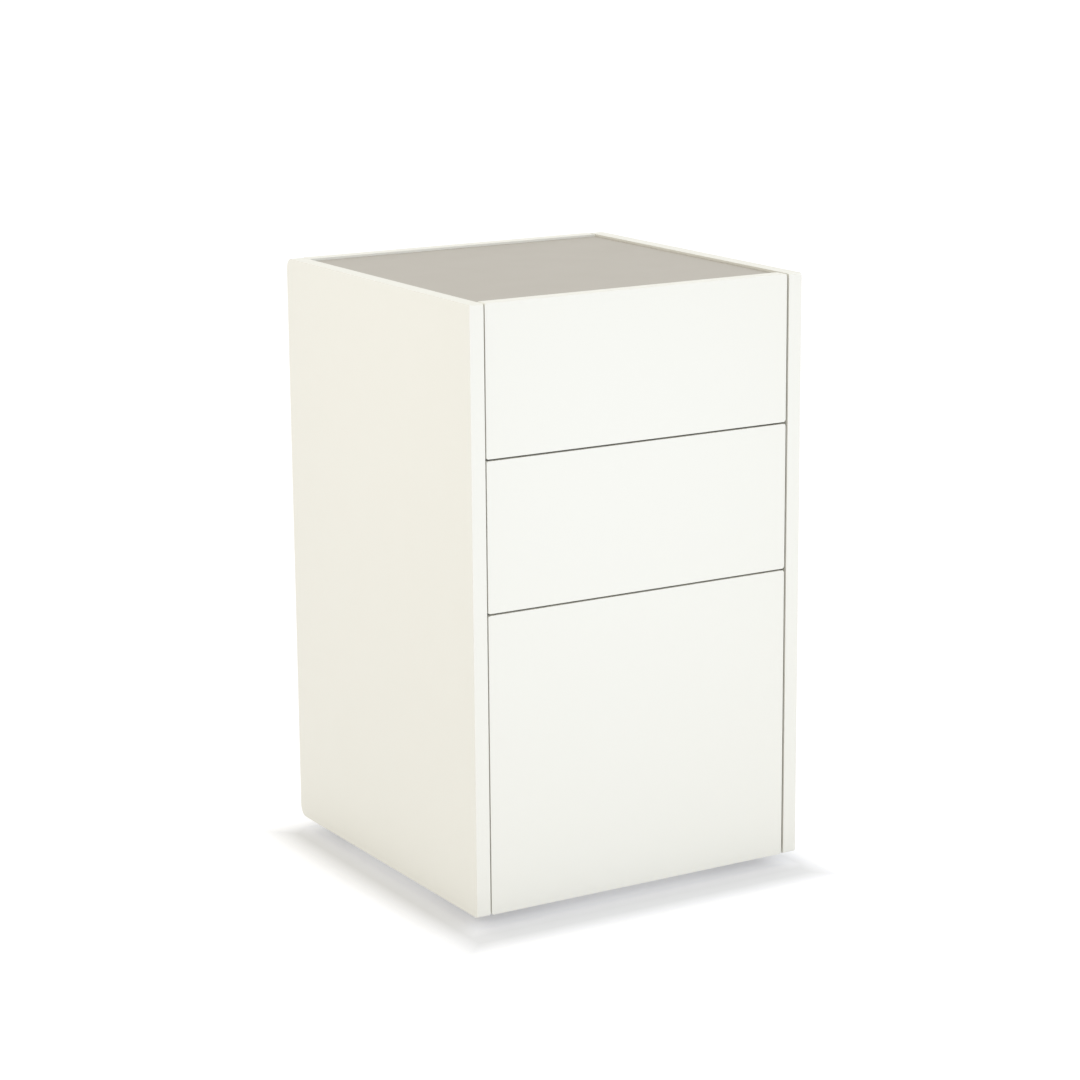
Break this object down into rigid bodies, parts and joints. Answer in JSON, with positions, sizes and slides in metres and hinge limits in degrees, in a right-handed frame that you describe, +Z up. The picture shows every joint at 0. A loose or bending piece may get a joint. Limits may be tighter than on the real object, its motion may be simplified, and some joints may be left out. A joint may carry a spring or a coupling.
{
  "type": "rolling pedestal cabinet",
  "caption": "White under-desk pedestal cabinet on hidden castors, with handle-less push-to-open drawers, a deep file drawer and a recessed grey top inlay.",
  "frame": {"origin": "on the floor under the middle of the cabinet", "axes": "+Z up, -Y out of the fronts, +X to the right of someone who faces the fronts"},
  "size_m": [0.402, 0.406, 0.655],
  "materials": {
    "white_lacquer": "satin",
    "grey_inlay": "satin",
    "carcass_board": "matte",
    "drawer_board": "matte",
    "zinc_steel": "satin",
    "aluminium": "satin",
    "black_steel": "matte",
    "grey_plastic": "matte",
    "white_plastic": "matte",
    "grey_rubber": "matte"
  },
  "bodies": {
    "cabinet": {"left_side_panel": "white_lacquer", "right_side_panel": "white_lacquer", "back_panel": "white_lacquer", "bottom_panel": "carcass_board", "top_panel": "carcass_board", "top_inlay": "grey_inlay", "counterweight": "black_steel", "upper_left_cabinet_member": "zinc_steel", "upper_right_cabinet_member": "zinc_steel", "upper_latch_housing": "grey_plastic", "middle_left_cabinet_member": "zinc_steel", "middle_right_cabinet_member": "zinc_steel", "middle_latch_housing": "grey_plastic", "file_left_cabinet_member": "zinc_steel", "file_right_cabinet_member": "zinc_steel", "file_latch_housing": "grey_plastic", "front_left_castor_plate": "zinc_steel", "front_right_castor_plate": "zinc_steel", "rear_left_castor_plate": "zinc_steel", "rear_right_castor_plate": "zinc_steel"},
    "upper_drawer": {"upper_drawer_front": "white_lacquer", "upper_drawer_left_side": "drawer_board", "upper_drawer_right_side": "drawer_board", "upper_drawer_bottom": "drawer_board", "upper_drawer_back": "drawer_board", "upper_left_drawer_member": "zinc_steel", "upper_right_drawer_member": "zinc_steel"},
    "upper_slide_middle": {"upper_left_middle_member": "zinc_steel", "upper_right_middle_member": "zinc_steel"},
    "upper_plunger": {"upper_latch_plunger": "white_plastic"},
    "middle_drawer": {"middle_drawer_front": "white_lacquer", "middle_drawer_left_side": "drawer_board", "middle_drawer_right_side": "drawer_board", "middle_drawer_bottom": "drawer_board", "middle_drawer_back": "drawer_board", "middle_left_drawer_member": "zinc_steel", "middle_right_drawer_member": "zinc_steel"},
    "middle_slide_middle": {"middle_left_middle_member": "zinc_steel", "middle_right_middle_member": "zinc_steel"},
    "middle_plunger": {"middle_latch_plunger": "white_plastic"},
    "file_drawer": {"file_drawer_front": "white_lacquer", "file_drawer_left_side": "drawer_board", "file_drawer_right_side": "drawer_board", "file_drawer_bottom": "drawer_board", "file_drawer_back": "drawer_board", "file_left_drawer_member": "zinc_steel", "file_right_drawer_member": "zinc_steel", "file_drawer_left_rail": "aluminium", "file_drawer_right_rail": "aluminium"},
    "file_slide_middle": {"file_left_middle_member": "zinc_steel", "file_right_middle_member": "zinc_steel"},
    "file_plunger": {"file_latch_plunger": "white_plastic"},
    "front_left_castor_fork": {"front_left_castor_fork": "zinc_steel"},
    "front_left_castor_wheel": {"front_left_castor_wheel": "grey_rubber"},
    "front_right_castor_fork": {"front_right_castor_fork": "zinc_steel"},
    "front_right_castor_wheel": {"front_right_castor_wheel": "grey_rubber"},
    "rear_left_castor_fork": {"rear_left_castor_fork": "zinc_steel"},
    "rear_left_castor_wheel": {"rear_left_castor_wheel": "grey_rubber"},
    "rear_right_castor_fork": {"rear_right_castor_fork": "zinc_steel"},
    "rear_right_castor_wheel": {"rear_right_castor_wheel": "grey_rubber"}
  },
  "joints": [
    {"name": "upper_drawer_slide", "type": "slide", "parent": "cabinet", "child": "upper_drawer", "axis": [0, -1, 0], "range_m": [-0.002, 0.3]},
    {"name": "upper_middle_member_slide", "type": "slide", "parent": "cabinet", "child": "upper_slide_middle", "axis": [0, -1, 0], "range_m": [-0.001, 0.15]},
    {"name": "upper_plunger_slide", "type": "slide", "parent": "cabinet", "child": "upper_plunger", "axis": [0, -1, 0], "range_m": [-0.0002, 0.02]},
    {"name": "middle_drawer_slide", "type": "slide", "parent": "cabinet", "child": "middle_drawer", "axis": [0, -1, 0], "range_m": [-0.002, 0.3]},
    {"name": "middle_middle_member_slide", "type": "slide", "parent": "cabinet", "child": "middle_slide_middle", "axis": [0, -1, 0], "range_m": [-0.001, 0.15]},
    {"name": "middle_plunger_slide", "type": "slide", "parent": "cabinet", "child": "middle_plunger", "axis": [0, -1, 0], "range_m": [-0.0002, 0.02]},
    {"name": "file_drawer_slide", "type": "slide", "parent": "cabinet", "child": "file_drawer", "axis": [0, -1, 0], "range_m": [-0.002, 0.3]},
    {"name": "file_middle_member_slide", "type": "slide", "parent": "cabinet", "child": "file_slide_middle", "axis": [0, -1, 0], "range_m": [-0.001, 0.15]},
    {"name": "file_plunger_slide", "type": "slide", "parent": "cabinet", "child": "file_plunger", "axis": [0, -1, 0], "range_m": [-0.0002, 0.02]},
    {"name": "front_left_castor_swivel", "type": "hinge", "parent": "cabinet", "child": "front_left_castor_fork", "pos_m": [-0.143, -0.14, 0.0447], "axis": [0, 0, 1], "continuous": true},
    {"name": "front_left_castor_wheel_spin", "type": "hinge", "parent": "front_left_castor_fork", "child": "front_left_castor_wheel", "pos_m": [-0.143, -0.124, 0.02], "axis": [1, 0, 0], "continuous": true},
    {"name": "front_right_castor_swivel", "type": "hinge", "parent": "cabinet", "child": "front_right_castor_fork", "pos_m": [0.143, -0.14, 0.0447], "axis": [0, 0, 1], "continuous": true},
    {"name": "front_right_castor_wheel_spin", "type": "hinge", "parent": "front_right_castor_fork", "child": "front_right_castor_wheel", "pos_m": [0.143, -0.124, 0.02], "axis": [1, 0, 0], "continuous": true},
    {"name": "rear_left_castor_swivel", "type": "hinge", "parent": "cabinet", "child": "rear_left_castor_fork", "pos_m": [-0.143, 0.14, 0.0447], "axis": [0, 0, 1], "continuous": true},
    {"name": "rear_left_castor_wheel_spin", "type": "hinge", "parent": "rear_left_castor_fork", "child": "rear_left_castor_wheel", "pos_m": [-0.143, 0.156, 0.02], "axis": [1, 0, 0], "continuous": true},
    {"name": "rear_right_castor_swivel", "type": "hinge", "parent": "cabinet", "child": "rear_right_castor_fork", "pos_m": [0.143, 0.14, 0.0447], "axis": [0, 0, 1], "continuous": true},
    {"name": "rear_right_castor_wheel_spin", "type": "hinge", "parent": "rear_right_castor_fork", "child": "rear_right_castor_wheel", "pos_m": [0.143, 0.156, 0.02], "axis": [1, 0, 0], "continuous": true}
  ],
  "couplings": [
    {"joint": "upper_middle_member_slide", "follows": "upper_drawer_slide", "ratio": 0.5},
    {"joint": "upper_plunger_slide", "follows": "upper_drawer_slide", "ratio": 0.0665},
    {"joint": "middle_middle_member_slide", "follows": "middle_drawer_slide", "ratio": 0.5},
    {"joint": "middle_plunger_slide", "follows": "middle_drawer_slide", "ratio": 0.0665},
    {"joint": "file_middle_member_slide", "follows": "file_drawer_slide", "ratio": 0.5},
    {"joint": "file_plunger_slide", "follows": "file_drawer_slide", "ratio": 0.0665}
  ]
}
